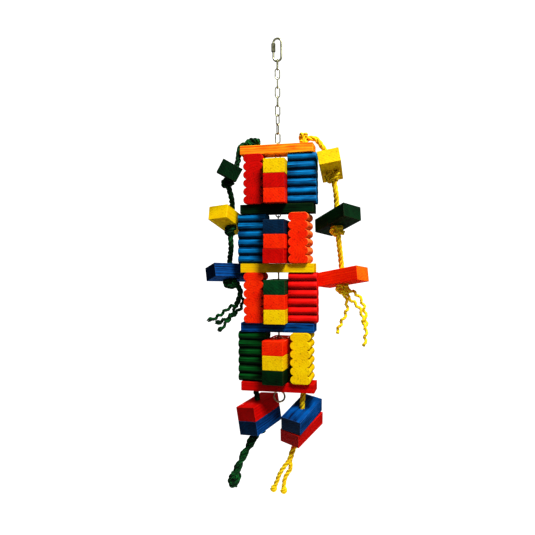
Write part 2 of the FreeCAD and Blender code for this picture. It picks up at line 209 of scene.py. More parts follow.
def make_wood_group():
    """Stained softwood about a grain axis Y.

    Position and Half are in metres and Pith, the trunk's centre, in millimetres. End is 1 on end grain.
    """
    tree = bpy.data.node_groups.new("stained wood", "ShaderNodeTree")
    for name, kind in (("Position", "NodeSocketVector"), ("Half", "NodeSocketVector"),
                       ("Pith", "NodeSocketVector"), ("End", "NodeSocketFloat"),
                       ("Painted shade", "NodeSocketFloat"),
                       ("Thin", "NodeSocketColor"), ("Soaked", "NodeSocketColor")):
        tree.interface.new_socket(name, in_out="INPUT", socket_type=kind)
    for name, kind in (("Color", "NodeSocketColor"), ("Roughness", "NodeSocketFloat"),
                       ("Height", "NodeSocketFloat")):
        tree.interface.new_socket(name, in_out="OUTPUT", socket_type=kind)
    given = tree.nodes.new("NodeGroupInput").outputs
    millimetres = vector_maths(tree, "MULTIPLY", given["Position"], (1000, 1000, 1000))
    along_grain = vector_maths(tree, "MULTIPLY", millimetres, (1.0, 0.045, 1.0))
    sway = noise(tree, vector_maths(tree, "MULTIPLY", millimetres, (1, 0.25, 1)), 0.045, 2.0)
    sway = maths(tree, "MULTIPLY", maths(tree, "SUBTRACT", sway, 0.5), 9.0)
    across = vector_maths(tree, "MULTIPLY", vector_maths(tree, "SUBTRACT", millimetres, given["Pith"]),
                          (1, 0, 1))
    radius = maths(tree, "ADD", vector_maths(tree, "LENGTH", across, out=1), sway)
    ring = maths(tree, "FRACT", maths(tree, "DIVIDE", radius, RING_WIDTH))
    late_wood = maths(tree, "MULTIPLY", smooth_step(tree, ring, 0.35, 0.9),
                      maths(tree, "SUBTRACT", 1.0, smooth_step(tree, ring, 0.93, 1.0)))
    fibre = noise(tree, along_grain, 1.3, 4.0, 0.6)
    streak = noise(tree, vector_maths(tree, "MULTIPLY", millimetres, (0.6, 0.012, 0.6)), 1.0, 3.0)
    blotch = noise(tree, vector_maths(tree, "MULTIPLY", millimetres, (1, 0.5, 1)), 0.05, 2.0)
    pores = new_node(tree, "ShaderNodeTexVoronoi", Vector=vector_maths(
        tree, "MULTIPLY", millimetres, (1.0, 0.07, 1.0)), Scale=0.8, Randomness=1.0)
    pore = maths(tree, "SUBTRACT", 1.0, smooth_step(tree, pores.outputs["Distance"], 0.10, 0.22))
    pore = maths(tree, "MULTIPLY", pore, smooth_step(tree, streak, 0.45, 0.62))

    inset = vector_maths(tree, "SUBTRACT", vector_maths(tree, "MULTIPLY", given["Half"],
                         (1000, 1000, 1000)), vector_maths(tree, "ABSOLUTE", millimetres))
    parts = tree.nodes.new("ShaderNodeSeparateXYZ")
    tree.links.new(inset, parts.inputs[0])

    soak = maths(tree, "MULTIPLY_ADD", maths(tree, "SUBTRACT", blotch, 0.5), 1.5, 0.36)
    near_end = maths(tree, "SUBTRACT", 1.0, smooth_step(tree, parts.outputs[1], 0.0, 24.0))
    side_face = maths(tree, "SUBTRACT", 1.0, given["End"])
    soak = maths(tree, "MULTIPLY_ADD", maths(tree, "MULTIPLY", near_end, side_face), 0.14, soak)
    soak = maths(tree, "MULTIPLY_ADD", maths(tree, "SUBTRACT", streak, 0.5), 1.3, soak)
    soak = maths(tree, "MULTIPLY_ADD", maths(tree, "SUBTRACT", fibre, 0.5), 0.9, soak)
    soak = maths(tree, "MULTIPLY_ADD", late_wood, 0.38, soak)
    soak = maths(tree, "MULTIPLY_ADD", given["End"], -0.08, soak)
    soak = new_node(tree, "ShaderNodeClamp", Value=soak).outputs[0]
    stained = blend_colours(tree, soak, given["Thin"], given["Soaked"])
    stained = blend_colours(tree, maths(tree, "MULTIPLY", pore, 0.55), stained, PORE_COLOUR)
    speck = noise(tree, millimetres, 0.55, 5.0, 0.75)
    dark_speck = smooth_step(tree, noise(tree, millimetres, 0.46, 2.0, 0.5), 0.635, 0.69)
    dark_speck = maths(tree, "MULTIPLY", dark_speck, given["End"])
    stained = blend_colours(tree, maths(tree, "MULTIPLY", dark_speck, 0.5), stained,
                            DARK_SPECK_COLOUR)
    # Painted shade in the grooves between the ribs and on their undersides.
    darker_colour = blend_colours(tree, 0.90, stained, PAINTED_SHADE_COLOUR)
    stained = blend_colours(tree, given["Painted shade"], stained, darker_colour)
    bright_speck = maths(tree, "MULTIPLY", smooth_step(tree, speck, 0.66, 0.72), given["End"])
    stained = blend_colours(tree, maths(tree, "MULTIPLY", bright_speck, 0.26), stained,
                            BRIGHT_SPECK_COLOUR)

    # Handling has rubbed the stain thin along the edges.
    pair_a = maths(tree, "MAXIMUM", parts.outputs[0], parts.outputs[1])
    pair_b = maths(tree, "MAXIMUM", parts.outputs[1], parts.outputs[2])
    pair_c = maths(tree, "MAXIMUM", parts.outputs[0], parts.outputs[2])
    edge = maths(tree, "MINIMUM", maths(tree, "MINIMUM", pair_a, pair_b), pair_c)
    edge = maths(tree, "MULTIPLY_ADD", maths(tree, "SUBTRACT", fibre, 0.5), 2.2, edge)
    worn = maths(tree, "SUBTRACT", 1.0, smooth_step(tree, edge, 0.3, 1.5))
    paler = blend_colours(tree, 0.04, given["Thin"], BARE_WOOD_COLOUR)
    stained = blend_colours(tree, maths(tree, "MULTIPLY", worn, 0.35), stained, paler)

    height = maths(tree, "MULTIPLY_ADD", fibre, 0.6, maths(tree, "MULTIPLY", late_wood, 0.35))
    height = maths(tree, "MULTIPLY_ADD", pore, -0.8, height)
    rough = maths(tree, "MULTIPLY_ADD", fibre, 0.25, 0.40)
    outputs = tree.nodes.new("NodeGroupOutput").inputs
    tree.links.new(stained, outputs["Color"])
    tree.links.new(rough, outputs["Roughness"])
    tree.links.new(height, outputs["Height"])
    return tree


WOOD = make_wood_group()
random.seed(GRAIN_SEED)


def wood_material(name, stain, centre, rotation, half, valley=None, own_ends=False):
    """Stained wood lined up with one block. rotation turns the block's axes, grain along its Y.

    valley is how far the bottoms between the ribs lie from the block's middle plane. Where it is
    given, painted shade darkens the bottoms between the ribs and the underside of each rib.
    """
    material, tree, shader = new_material("wood " + name)
    place = new_node(tree, "ShaderNodeTexCoord")
    mapping = new_node(tree, "ShaderNodeMapping", set_vector_type="TEXTURE",
                       Vector=place.outputs["Object"], Location=centre,
                       Rotation=rotation.to_euler("XYZ"))
    grain = rotation @ Vector((0, 1, 0))
    facing = vector_maths(tree, "DOT_PRODUCT", place.outputs["Normal"], tuple(grain), out=1)
    end = smooth_step(tree, maths(tree, "ABSOLUTE", facing), 0.75, 0.9)
    group = new_node(tree, "ShaderNodeGroup", set_node_tree=WOOD)
    tree.links.new(mapping.outputs[0], group.inputs["Position"])
    tree.links.new(end, group.inputs["End"])
    group.inputs["Half"].default_value = half
    # Painted shade: darker near the valleys and on faces that point down, less on end grain.
    if valley:
        place_parts = tree.nodes.new("ShaderNodeSeparateXYZ")
        tree.links.new(mapping.outputs[0], place_parts.inputs[0])
        out = maths(tree, "ABSOLUTE", place_parts.outputs[0])
        shallow = smooth_step(tree, out, valley, valley + GROOVE_SHADE_REACH)
        normal_parts = tree.nodes.new("ShaderNodeSeparateXYZ")
        tree.links.new(place.outputs["Normal"], normal_parts.inputs[0])
        underside_shade = smooth_step(tree, maths(tree, "MULTIPLY", normal_parts.outputs[2], -1.0), 0.0, 0.75)
        groove_shade = maths(tree, "MAXIMUM", maths(tree, "SUBTRACT", 1.0, shallow),
                       maths(tree, "MULTIPLY", underside_shade, UNDERSIDE_SHADE_SHARE))
        groove_shade = maths(tree, "MULTIPLY", maths(tree, "SUBTRACT", groove_shade, end),
                       GROOVE_SHADE_STRENGTH.get(stain, DEFAULT_GROOVE_SHADE_STRENGTH))
        groove_shade = new_node(tree, "ShaderNodeClamp", Value=groove_shade).outputs[0]
        tree.links.new(groove_shade, group.inputs["Painted shade"])
    side = random.choice((-1, 1))
    group.inputs["Pith"].default_value = (side * random.uniform(14, 34), 0, random.uniform(-46, -22))
    # The ends' colours paint shade on the red and royal blocks and a highlight on the orange_red one.
    end_stains_and_light = END_STAINS_AND_PAINTED_LIGHT.get(stain) if own_ends else None
    for which, side_stain in enumerate(STAINS[stain]):
        socket = group.inputs[("Thin", "Soaked")[which]]
        socket.default_value = (*side_stain, 1)
        if end_stains_and_light:
            tree.links.new(blend_colours(tree, end, (*side_stain, 1), (*end_stains_and_light[which], 1)), socket)
    bump = new_node(tree, "ShaderNodeBump", Strength=0.55, Distance=0.00025,
                    Height=group.outputs["Height"])
    tree.links.new(group.outputs["Color"], shader.inputs["Base Color"])
    tree.links.new(group.outputs["Roughness"], shader.inputs["Roughness"])
    tree.links.new(bump.outputs[0], shader.inputs["Normal"])
    shader.inputs["Specular IOR Level"].default_value = 0.08
    return material


def block_axes(node):
    """Centre, rotation and half size of a box-like node, from its own faces, with Y as its longest side."""
    mesh = node.data
    weights = {}
    for face in mesh.polygons:
        key = tuple(round(value, 2) for value in face.normal)
        weights[key] = weights.get(key, 0) + face.area
    ranked = [Vector(key).normalized() for key in sorted(weights, key=weights.get, reverse=True)]
    first = ranked[0]
    second = next(normal for normal in ranked if abs(normal.dot(first)) < 0.03)
    third = first.cross(second).normalized()
    second = third.cross(first)
    sides = []
    for axis in (first, second, third):
        reach = [axis.dot(vertex.co) for vertex in mesh.vertices]
        sides.append((max(reach) - min(reach), (max(reach) + min(reach)) / 2, axis))
    sides.sort(key=lambda side: side[0])
    short, middle, long = sides
    x_axis, y_axis = middle[2], long[2]
    z_axis = x_axis.cross(y_axis)
    centre = sum((side[1] * side[2] for side in sides), Vector())
    rotation = Matrix((x_axis, y_axis, z_axis)).transposed()
    return centre, rotation, (middle[0] / 2, long[0] / 2, short[0] / 2)


def put_material(node, material):
    node.data.materials.clear()
    node.data.materials.append(material)


def finish_wood_node(name, stain, own_ends=False):
    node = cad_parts[name]
    centre, rotation, half = block_axes(node)
    put_material(node, wood_material(name, stain, centre, rotation, half, own_ends=own_ends))


def dress_blocks():
    for index, stain in enumerate(SLAT_COLOURS):
        finish_wood_node("slat_" + str(index + 1), stain)
    for layer, stains in enumerate(STACK_COLOURS):
        for level, stain in enumerate(stains):
            finish_wood_node("centre_block_%d_%d" % (layer + 1, level + 1), stain)
    loose = {"left_arm_block": ("dark_green", "yellow", "royal"),
             "right_arm_block": ("yellow", "dark_green", "orange_red"),
             "left_foot_block": ("red", "royal"), "right_foot_block": ("royal", "red")}
    for name, stains in loose.items():
        for index, stain in enumerate(stains):
            finish_wood_node(name + "_" + str(index + 1), stain, own_ends=True)


# --- fluted blocks ---

RIB_COUNT = 6
FLUTE_DEPTH = 0.0063
RIB_STEPS = 12
# Distance in from each end face, and how far the outline has shrunk there.
END_EASING = [(0.0, 0.0009), (0.00025, 0.0004), (0.0009, 0.0)]
# The sections between the ends, as shares of the length from its middle.
MIDDLE_STATIONS = (-0.36, -0.24, -0.12, 0.0, 0.12, 0.24, 0.36)
# How far inside the ribs' crests the worn edges are reckoned from.
WEAR_INSET = 0.002


def fluted_outline(thickness, height):
    """Points round the block's section: (x, z, outward x, outward z), six ribs up each side."""
    valley = thickness / 2 - FLUTE_DEPTH
    pitch = height / RIB_COUNT
    radius = (pitch ** 2 / 4 + FLUTE_DEPTH ** 2) / (2 * FLUTE_DEPTH)
    sweep = math.asin(pitch / 2 / radius)
    outline = []
    for side in (1, -1):
        for rib in range(RIB_COUNT):
            middle = side * (-height / 2 + (rib + 0.5) * pitch)
            for step in range(RIB_STEPS):
                angle = sweep * (2 * step / RIB_STEPS - 1)
                out = Vector((side * math.cos(angle), side * math.sin(angle)))
                x = side * (valley + FLUTE_DEPTH - radius) + out.x * radius
                outline.append((x, middle + out.y * radius, out.x, out.y))
        outline.append((side * valley, side * height / 2, 0, side))
    return outline


def make_fluted_block(name, stain):
    """The CAD block with eased end edges. Its rope hole, which the slats hide, is left out."""
    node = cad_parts[name]
    ends = {}
    for face in node.data.polygons:
        if abs(face.normal.z) < 0.02:
            key = (round(face.normal.x, 3), round(face.normal.y, 3))
            ends[key] = ends.get(key, 0) + face.area
    grain = Vector((*max(ends, key=ends.get), 0)).normalized()
    leading = grain.x if abs(grain.x) > abs(grain.y) else grain.y
    grain = grain * (1 if leading > 0 else -1)
    across = grain.cross(Vector((0, 0, 1)))
    low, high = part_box(name)
    reach = {}
    for label, axis in (("grain", grain), ("across", across)):
        values = [axis.dot(vertex.co) for vertex in node.data.vertices]
        reach[label] = (min(values), max(values))
    length = reach["grain"][1] - reach["grain"][0]
    thickness = reach["across"][1] - reach["across"][0]
    height = high[2] - low[2]
    centre = grain * sum(reach["grain"]) / 2 + across * sum(reach["across"]) / 2
    centre.z = (low[2] + high[2]) / 2
    outline = fluted_outline(thickness, height)
    stations = [(-length / 2 + step, shrink) for step, shrink in END_EASING]
    stations += [(length * share, 0.0) for share in MIDDLE_STATIONS]
    stations += [(length / 2 - step, shrink) for step, shrink in reversed(END_EASING)]
    mesh = bmesh.new()
    rings = []
    for y, shrink in stations:
        ring = []
        for x, z, out_x, out_z in outline:
            point = centre + across * (x - out_x * shrink) + grain * y
            point.z = centre.z + z - out_z * shrink
            ring.append(mesh.verts.new(point))
        rings.append(ring)
    count = len(outline)
    for first, second in zip(rings, rings[1:]):
        for index in range(count):
            after = (index + 1) % count
            mesh.faces.new((first[index], first[after], second[after], second[index]))
    for ring in (rings[0], rings[-1]):
        mesh.faces.new(ring)
    bmesh.ops.recalc_face_normals(mesh, faces=mesh.faces)
    for face in mesh.faces:
        face.smooth = len(face.verts) == 4
    piece = add_mesh(name + "_milled", mesh)
    rotation = Matrix((across, grain, Vector((0, 0, 1)))).transposed()
    half = (thickness / 2 - WEAR_INSET, length / 2, height / 2)
    put_material(piece, wood_material(name, stain, centre, rotation, half, thickness / 2 - FLUTE_DEPTH,
                                      own_ends=stain == "rubbed_orange"))
    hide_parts(name)
    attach(piece, "tower")


def add_mesh(name, mesh):
    data = bpy.data.meshes.new(name)
    mesh.to_mesh(data)
    mesh.free()
    piece = bpy.data.objects.new(name, data)
    bpy.context.scene.collection.objects.link(piece)
    return piece


def dress_fluted_blocks():
    for layer, (left, right) in enumerate(zip(LEFT_COLOURS, RIGHT_COLOURS)):
        make_fluted_block("fluted_left_" + str(layer + 1), left)
        make_fluted_block("fluted_right_" + str(layer + 1), right)


# --- rope ---

# Distance between a rope's sections: in knots and loose strands, elsewhere, in the foot's tail, and
# out of sight inside the tower.
FINE_STEP = 0.0009
ROPE_STEP = 0.0011
TAIL_STEP = 0.0012
HIDDEN_STEP = 0.002
# How quickly an uneven helix's turns and radius wander, in radians a metre.
TURN_WANDER = 210
RADIUS_WANDER = 330


def smooth_line(name, points):
    """The points of a NURBS line that has the route's points as its control points."""
    curve = bpy.data.curves.new(name, "CURVE")
    curve.dimensions = "3D"
    curve.resolution_u = 14
    spline = curve.splines.new("NURBS")
    spline.points.add(len(points) - 1)
    for target, point in zip(spline.points, points):
        target.co = (*point, 1)
    spline.order_u = 3
    spline.use_endpoint_u = True
    holder = bpy.data.objects.new(name, curve)
    bpy.context.scene.collection.objects.link(holder)
    bpy.context.view_layer.update()
    evaluated = holder.evaluated_get(bpy.context.evaluated_depsgraph_get())
    line_mesh = bpy.data.meshes.new_from_object(evaluated)
    line = [vertex.co.copy() for vertex in line_mesh.vertices]
    bpy.data.meshes.remove(line_mesh)
    bpy.data.objects.remove(holder)
    bpy.data.curves.remove(curve)
    return line


def even_steps(line, step):
    """The same line at even distances."""
    total = [0.0]
    for before, after in zip(line, line[1:]):
        total.append(total[-1] + (after - before).length)
    count = max(2, round(total[-1] / step))
    result = []
    segment = 0
    for number in range(count + 1):
        distance = total[-1] * number / count
        while segment < len(line) - 2 and total[segment + 1] < distance:
            segment += 1
        span = total[segment + 1] - total[segment]
        share = (distance - total[segment]) / span if span > 0 else 0
        result.append(line[segment].lerp(line[segment + 1], share))
    return result


def carried_frames(line):
    """Tangent, normal and side at each point, carried along without twist."""
    frames = []
    normal = None
    for index in range(len(line)):
        before = line[max(index - 1, 0)]
        after = line[min(index + 1, len(line) - 1)]
        tangent = (after - before).normalized()
        if normal is None:
            seed_axis = Vector((0, 1, 0)) if abs(tangent.y) < 0.8 else Vector((1, 0, 0))
            normal = seed_axis - tangent * seed_axis.dot(tangent)
        normal = (normal - tangent * normal.dot(tangent)).normalized()
        frames.append((tangent, normal, tangent.cross(normal)))
    return frames


def wound_line(line, radius, pitch, phase, unevenness=0.0):
    """A helix about the line. Its radius and its turns wander by the given share."""
    result = []
    travelled = 0.0
    angle = phase
    for index, (point, (_, normal, side)) in enumerate(zip(line, carried_frames(line))):
        if index:
            step = (point - line[index - 1]).length
            travelled += step
            wander = 1 + unevenness * math.sin(travelled * TURN_WANDER + phase * 3)
            angle += 2 * math.pi * step / pitch * wander
        reach = radius * (1 + unevenness * math.sin(travelled * RADIUS_WANDER + phase * 5))
        result.append(point + (normal * math.cos(angle) + side * math.sin(angle)) * reach)
    return result


def add_yarn(mesh, line, radius, sides=10, taper=0.0, spine=None, spine_reach=1.0):
    """A round tube along the line with domed ends.

    Its UVs run along it in tenths of a metre and round it in turns. Where a spine is given, each
    point keeps its distance from it, as a share of spine_reach.
    """
    layer = mesh.loops.layers.uv.verify()
    openness = mesh.verts.layers.float.get("openness") or mesh.verts.layers.float.new("openness")
    rings = []
    travelled = [0.0]
    for before, after in zip(line, line[1:]):
        travelled.append(travelled[-1] + (after - before).length)
    total = travelled[-1]
    for index, (point, (_, normal, side)) in enumerate(zip(line, carried_frames(line))):
        to_end = min(travelled[index], total - travelled[index])
        dome = math.sqrt(max(0.0, 1 - max(0.0, 1 - to_end / radius) ** 2)) * 0.75 + 0.25
        size = radius * dome * (1 - taper * travelled[index] / total)
        ring = []
        for step in range(sides):
            angle = 2 * math.pi * step / sides
            vertex = mesh.verts.new(point + (normal * math.cos(angle) + side * math.sin(angle)) * size)
            vertex[openness] = (vertex.co - spine[index]).length / spine_reach if spine else 1.0
            ring.append(vertex)
        rings.append(ring)
    for index, (first, second) in enumerate(zip(rings, rings[1:])):
        for step in range(sides):
            after = (step + 1) % sides
            face = mesh.faces.new((first[step], first[after], second[after], second[step]))
            face.smooth = True
            turns = (step / sides, (step + 1) / sides, (step + 1) / sides, step / sides)
            runs = (travelled[index], travelled[index], travelled[index + 1], travelled[index + 1])
            for loop, turn, run in zip(face.loops, turns, runs):
                loop[layer].uv = (run * 10, turn)
    for ring, order in ((rings[0], -1), (rings[-1], 1)):
        cap = mesh.faces.new(ring[::order])
        cap.smooth = True


def add_laid_rope(mesh, line, diameter, lay, strands=ROPE_STRANDS, step=ROPE_STEP, phase=LAY_PHASE):
    """Strands wound round the line so that they press together and fill the diameter."""
    line = even_steps(line, step)
    share = math.sin(math.pi / strands)
    strand_radius = diameter / 2 * share / (1 + share) * STRAND_SWELL
    centre_radius = diameter / 2 - strand_radius
    for number in range(strands):
        wound = wound_line(line, centre_radius, lay, phase + 2 * math.pi * number / strands)
        add_yarn(mesh, wound, strand_radius, spine=line, spine_reach=diameter / 2)


# An overhand knot's line: its steps, the radians of turn over which it leaves and rejoins the rope,
# its mean radius, how far its lobes go out and in, and how far it bulges to one side.
KNOT_STEPS = 96
KNOT_LEAD = 0.6
KNOT_MEAN = 0.70
KNOT_LOBES = 0.36
KNOT_BULGE = 0.08
# A knot's lay, in rope diameters for each strand.
KNOT_LAY = 1.1


def ease(value):
    value = min(max(value, 0.0), 1.0)
    return value * value * (3 - 2 * value)


def overhand(centre, axis, sideways, size, rope):
    """The line of an overhand knot pulled tight: two turns about the axis, with three crossings.

    size is the knot's length along the axis, its width and its depth.
    """
    axis = Vector(axis).normalized()
    sideways = Vector(sideways)
    sideways = (sideways - axis * sideways.dot(axis)).normalized()
    front = axis.cross(sideways)
    outer = (size[1] - rope) / 2
    flatness = (size[2] - rope) / (size[1] - rope)
    rise = (size[0] - rope) / 2
    line = []
    for step in range(KNOT_STEPS + 1):
        turn = 2 * math.pi * step / KNOT_STEPS
        swell = ease(turn / KNOT_LEAD) * ease((2 * math.pi - turn) / KNOT_LEAD)
        lobes = KNOT_MEAN + KNOT_LOBES * math.cos(3 * turn)
        reach = outer * lobes * (1 + KNOT_BULGE * math.sin(turn)) * swell
        height = rise * math.sin(3 * turn) * swell + rise * (1 - swell) * (1 if turn < math.pi else -1)
        around = 2 * turn + math.pi / 2
        line.append(Vector(centre) + axis * height + sideways * reach * math.cos(around)
                    + front * reach * math.sin(around) * flatness)
    return line


# The fine yarns seen round a strand, and how many wind past in a tenth of a metre along it.
YARNS_ROUND = 5.0
YARN_SLANT = 14.0

# Each rope's colours: plain dye, darker dye, a painted highlight on some fibres, and painted shade deep
# between the strands.
ROPE_DYES_AND_PAINTED_LIGHT = {
    "green": ((0.0018, 0.040, 0.009), (0.0005, 0.0065, 0.0018), (0.006, 0.32, 0.045),
              (0.0003, 0.0028, 0.0008)),
    "yellow": ((0.92, 0.72, 0.006), (0.80, 0.46, 0.0020), (0.98, 0.92, 0.060), (0.62, 0.27, 0.0010)),
}


def rope_material(name):
    """Dyed fibre: fine twisted yarns along each strand, darker in patches of dye, with painted shade
    between the yarns and strands and painted highlights.
    """
    base, darker_colour, highlight_colour, crevice_shade_colour = ROPE_DYES_AND_PAINTED_LIGHT[name]
    material, tree, shader = new_material("rope " + name)
    place = new_node(tree, "ShaderNodeTexCoord")
    parts = tree.nodes.new("ShaderNodeSeparateXYZ")
    tree.links.new(place.outputs["UV"], parts.inputs[0])
    around = maths(tree, "MULTIPLY", parts.outputs[1], YARNS_ROUND)
    slant = maths(tree, "MULTIPLY_ADD", parts.outputs[0], YARN_SLANT, around)
    yarn = maths(tree, "SINE", maths(tree, "MULTIPLY", slant, 2 * math.pi))
    metres = place.outputs["Object"]
    fuzz = noise(tree, metres, 1600, 4.0, 0.7)
    pool = noise(tree, metres, 95, 3.0, 0.6)
    # Random patches of darker dye, and painted shade in the troughs between the yarns.
    shade = maths(tree, "MULTIPLY_ADD", maths(tree, "SUBTRACT", pool, 0.5), 1.8, 0.42)
    shade = maths(tree, "MULTIPLY_ADD", yarn, -0.22, shade)
    shade = new_node(tree, "ShaderNodeClamp", Value=shade).outputs[0]
    colour = blend_colours(tree, shade, (*base, 1), (*darker_colour, 1))
    # Painted highlight: speckled bright fibres, more on the yarn crests.
    light = maths(tree, "MULTIPLY_ADD", yarn, 0.12, fuzz)
    light = maths(tree, "MULTIPLY_ADD", maths(tree, "SUBTRACT", pool, 0.5), -0.7, light)
    light = smooth_step(tree, light, 0.56, 0.72)
    colour = blend_colours(tree, maths(tree, "MULTIPLY", light, 0.55), colour, (*highlight_colour, 1))
    # Painted shade where the strands press together, near the rope's middle.
    openness = new_node(tree, "ShaderNodeAttribute", set_attribute_name="openness").outputs["Fac"]
    crevice_shade = maths(tree, "SUBTRACT", 1.0, smooth_step(tree, openness, 0.62, 0.93))
    colour = blend_colours(tree, maths(tree, "MULTIPLY", crevice_shade, 0.75), colour, (*crevice_shade_colour, 1))
    height = maths(tree, "MULTIPLY_ADD", yarn, 0.6, fuzz)
    bump = new_node(tree, "ShaderNodeBump", Strength=0.8, Distance=0.00035, Height=height)
    tree.links.new(colour, shader.inputs["Base Color"])
    tree.links.new(bump.outputs[0], shader.inputs["Normal"])
    tree.links.new(maths(tree, "MULTIPLY_ADD", fuzz, 0.3, 0.62), shader.inputs["Roughness"])
    shader.inputs["Sheen Weight"].default_value = 0.03
    shader.inputs["Specular IOR Level"].default_value = 0.15
    return material


ROPE_MATERIALS = {name: rope_material(name) for name in ROPE_DYES_AND_PAINTED_LIGHT}


def finish_rope(name, mesh, colour, body, nodes=()):
    piece = add_mesh(name, mesh)
    put_material(piece, ROPE_MATERIALS[colour])
    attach(piece, body)
    if nodes:
        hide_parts(*nodes)
    return piece


def make_knot(name, colour, body, centre, axis, sideways, size, rope=None, strands=ROPE_STRANDS):
    """A knot of the given length, width and depth, tied in the laid rope."""
    rope = rope or ROPE_DIAMETERS[colour] * KNOTTED_SHARE
    mesh = bmesh.new()
    line = overhand(centre, axis, sideways, size, rope)
    add_laid_rope(mesh, line, rope, rope * strands * KNOT_LAY, strands, step=FINE_STEP)
    return finish_rope(name, mesh, colour, body)


def make_rope(name, colour, body, points, nodes=(), diameter=None, lay=ROPE_LAY,
              phase=LAY_PHASE):
    diameter = diameter or ROPE_DIAMETERS[colour]
    line = smooth_line(name, points)
    mesh = bmesh.new()
    add_laid_rope(mesh, line, diameter, lay, phase=phase)
    piece = finish_rope(name, mesh, colour, body, nodes)


# Routes as in the CAD model, each carried on into the knots at its ends.
ARM_ROUTES = {
    "left_upper": [(-0.0545, 0.0, -0.1850), (-0.0620, 0.0, -0.1857), (-0.0680, -0.0005, -0.1865),
                   (-0.0708, -0.0020, -0.1940), (-0.0708, -0.0080, -0.2070), (-0.0704, -0.0138, -0.2220),
                   (-0.0896, -0.0149, -0.2566)],
    "left_middle": [(-0.0880, -0.0148, -0.2630), (-0.0854, -0.0123, -0.2730), (-0.0850, -0.0030, -0.2860),
                    (-0.0894, 0.0138, -0.2990), (-0.0889, 0.0007, -0.3404)],
    "left_lower": [(-0.0888, -0.0008, -0.3460), (-0.0886, -0.0009, -0.3560), (-0.0895, 0.0060, -0.3730),
                   (-0.0993, 0.0253, -0.3960), (-0.0919, 0.0159, -0.4372), (-0.0770, 0.0145, -0.4430),
                   (-0.0735, 0.0140, -0.4580), (-0.0830, 0.0140, -0.4770)],
    "right_upper": [(0.0530, 0.0, -0.1800), (0.0610, 0.0002, -0.1802), (0.0690, 0.0020, -0.1810),
                    (0.0780, 0.0080, -0.1930), (0.0888, 0.0180, -0.2097), (0.0962, 0.0095, -0.2476)],
    "right_middle": [(0.0982, 0.0093, -0.2530), (0.1000, 0.0092, -0.2623), (0.1025, 0.0100, -0.2780),
                     (0.1026, 0.0209, -0.3030), (0.1053, 0.0066, -0.3441)],
    "right_lower": [(0.1058, 0.0056, -0.3500), (0.1068, 0.0054, -0.3600), (0.1085, 0.0080, -0.3770),
                    (0.1099, 0.0239, -0.4036), (0.1139, 0.0164, -0.4464)],
}
# Each route ends at its knot's centre, but this one goes on: its knot is at the point numbered here.
ARM_KNOT_POINTS = {"left_lower": 4}
# Each arm knot's axis, the side that its loop bulges to, and its length, width and depth.
ARM_KNOTS = {
    "left_upper": ((0.484, 0.028, 0.874), (1.0, -0.2, 0.0), (0.0215, 0.0255, 0.0235)),
    "left_middle": ((-0.013, 0.302, 0.953), (0.9, -0.4, 0.0), (0.0200, 0.0250, 0.0230)),
    "left_lower": ((-0.173, 0.217, 0.961), (-1.0, -0.2, 0.3), (0.0195, 0.0330, 0.0240)),
    "right_upper": ((-0.186, 0.215, 0.959), (1.0, -0.2, -0.3), (0.0215, 0.0285, 0.0240)),
    "right_middle": ((-0.061, 0.327, 0.943), (-1.0, -0.2, 0.0), (0.0190, 0.0280, 0.0235)),
    "right_lower": ((-0.092, 0.172, 0.981), (-0.9, -0.3, -0.5), (0.0205, 0.0285, 0.0240)),
}
LEFT_STRANDS = [
    [(-0.0825, 0.0140, -0.4760), (-0.0940, 0.0130, -0.4790), (-0.1090, 0.0120, -0.4930),
     (-0.1250, 0.0110, -0.5025), (-0.1350, 0.0110, -0.5060)],
    [(-0.0830, 0.0140, -0.4765), (-0.0880, 0.0150, -0.4910), (-0.1030, 0.0165, -0.5040),
     (-0.1200, 0.0170, -0.5110)],
    [(-0.0740, 0.0135, -0.4570), (-0.0685, 0.0110, -0.4690), (-0.0710, 0.0100, -0.4800),
     (-0.0820, 0.0090, -0.4905), (-0.0950, 0.0080, -0.5020), (-0.1050, 0.0080, -0.5140),
     (-0.1130, 0.0080, -0.5240)],
]
RIGHT_STRANDS = [
    [(0.1130, 0.0160, -0.4480), (0.1175, 0.0160, -0.4620), (0.1210, 0.0165, -0.4760),
     (0.1180, 0.0170, -0.4910), (0.1090, 0.0170, -0.5070), (0.1010, 0.0170, -0.5240)],
    [(0.1160, 0.0160, -0.4470), (0.1270, 0.0150, -0.4490), (0.1400, 0.0150, -0.4570),
     (0.1490, 0.0150, -0.4730), (0.1525, 0.0150, -0.4980), (0.1530, 0.0150, -0.5200),
     (0.1505, 0.0150, -0.5460)],
    [(0.1150, 0.0150, -0.4490), (0.1210, 0.0120, -0.4600), (0.1320, 0.0100, -0.4690),
     (0.1425, 0.0090, -0.4800), (0.1485, 0.0085, -0.4970), (0.1505, 0.0085, -0.5160)],
]
LEFT_FOOT = [(-0.0435, 0.0, -0.6260), (-0.0433, 0.0030, -0.6340), (-0.0428, 0.0067, -0.6418),
             (-0.0342, 0.0120, -0.7085), (-0.0506, -0.0050, -0.7204)]
LEFT_FOOT_TAIL = [(-0.0506, -0.0050, -0.7204), (-0.0615, -0.0100, -0.7390), (-0.0710, -0.0120, -0.7590),
                  (-0.0800, -0.0130, -0.7810)]
RIGHT_FOOT = [(0.0435, 0.0, -0.6260), (0.0430, -0.0015, -0.6360), (0.0416, -0.0042, -0.6497),
              (0.0378, 0.0185, -0.7150), (0.0305, 0.0030, -0.7215), (0.0253, -0.0070, -0.7290),
              (0.0215, -0.0110, -0.7430), (0.0180, -0.0110, -0.7550)]
